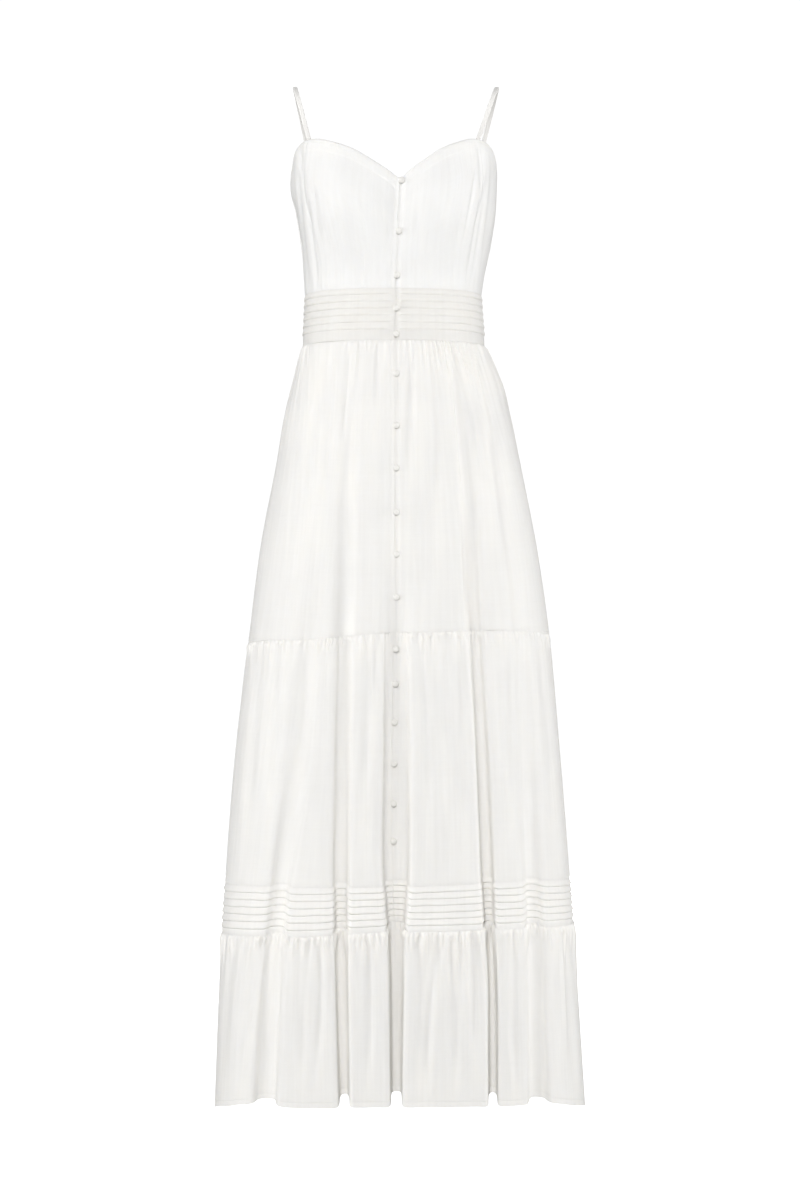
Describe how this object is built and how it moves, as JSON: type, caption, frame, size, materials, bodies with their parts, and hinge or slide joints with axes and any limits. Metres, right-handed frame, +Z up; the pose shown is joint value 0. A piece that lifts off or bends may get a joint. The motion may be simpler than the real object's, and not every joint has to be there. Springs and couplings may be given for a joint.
{
  "type": "sundress",
  "caption": "Long sleeveless button-front dress with cups, thin straps, a pin-tucked waist, two gathered tiers, a tucked band and a gathered hem flounce, held as worn.",
  "frame": {"origin": "under the tops of the two shoulder straps, midway between them, where the wearer's shoulders hold the dress", "axes": "+Z up, the front faces -Y, +X at the viewer's right when looking at the front"},
  "size_m": [0.5088, 0.3292, 1.4012],
  "materials": {
    "bodice": "off-white crinkled cotton, matte",
    "waistband": "off-white pin-tucked cotton, matte",
    "skirt": "off-white gathered cotton with fine upright slubs, matte",
    "flounce": "off-white single-layer cotton, matte",
    "straps": "off-white cotton tube, matte",
    "buttons": "cotton-covered dome, matte"
  },
  "bodies": {
    "root": {"bodice_front_left": "bodice", "bodice_front_right": "bodice", "bodice_side_left": "bodice", "bodice_side_right": "bodice", "bodice_back": "bodice", "waistband_front_left": "waistband", "waistband_front_right": "waistband", "waistband_back": "waistband", "upper_tier_front_left": "skirt", "upper_tier_front_right": "skirt", "upper_tier_back": "skirt", "middle_tier_front_left": "skirt", "middle_tier_front_right": "skirt", "middle_tier_back": "skirt", "tuck_band_front_left": "flounce", "tuck_band_front_right": "flounce", "tuck_band_back": "flounce", "flounce_front_left": "flounce", "flounce_front_right": "flounce", "flounce_back": "flounce", "strap_left": "straps", "strap_right": "straps", "button_01": "buttons", "button_02": "buttons", "button_03": "buttons", "button_04": "buttons", "button_05": "buttons", "button_06": "buttons", "button_07": "buttons", "button_08": "buttons", "button_09": "buttons", "button_10": "buttons", "button_11": "buttons", "button_12": "buttons", "button_13": "buttons", "button_14": "buttons", "button_15": "buttons", "button_16": "buttons", "button_17": "buttons"}
  },
  "joints": []
}
